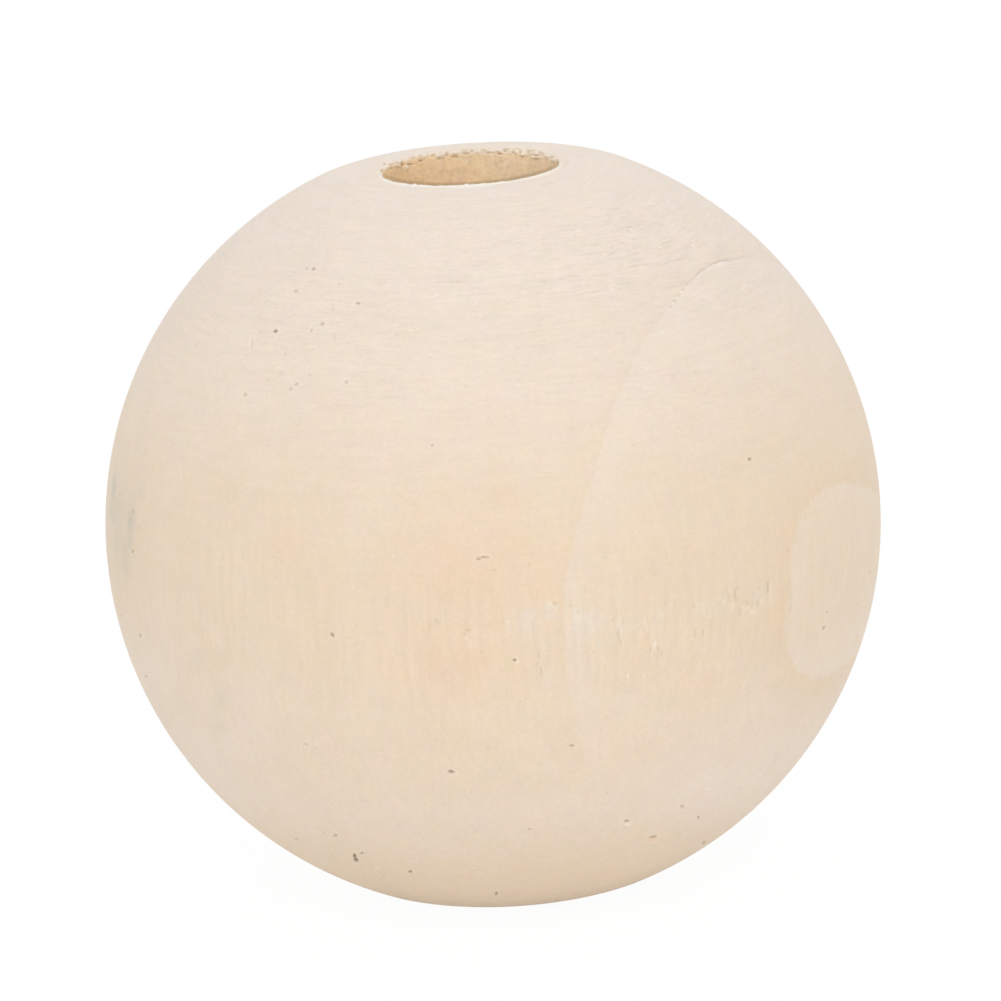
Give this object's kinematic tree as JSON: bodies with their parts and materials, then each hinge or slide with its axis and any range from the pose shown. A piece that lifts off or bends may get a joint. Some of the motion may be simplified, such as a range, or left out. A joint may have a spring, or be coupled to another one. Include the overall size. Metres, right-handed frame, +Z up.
{
  "type": "wooden bead",
  "caption": "Round turned wooden bead with a straight bore right through it and a small flat ring at each end, for threading on a cord or dowel.",
  "frame": {"origin": "middle of the lower end face, on the bore's axis, so that the bead stands on the plane z = 0", "axes": "+Z up along the bore; X and Y are free, because the bead is round about Z"},
  "size_m": [0.02, 0.02, 0.0188],
  "materials": {
    "wood": "matt, turned and left unfinished"
  },
  "bodies": {
    "root": {"bead": "wood"}
  },
  "joints": []
}
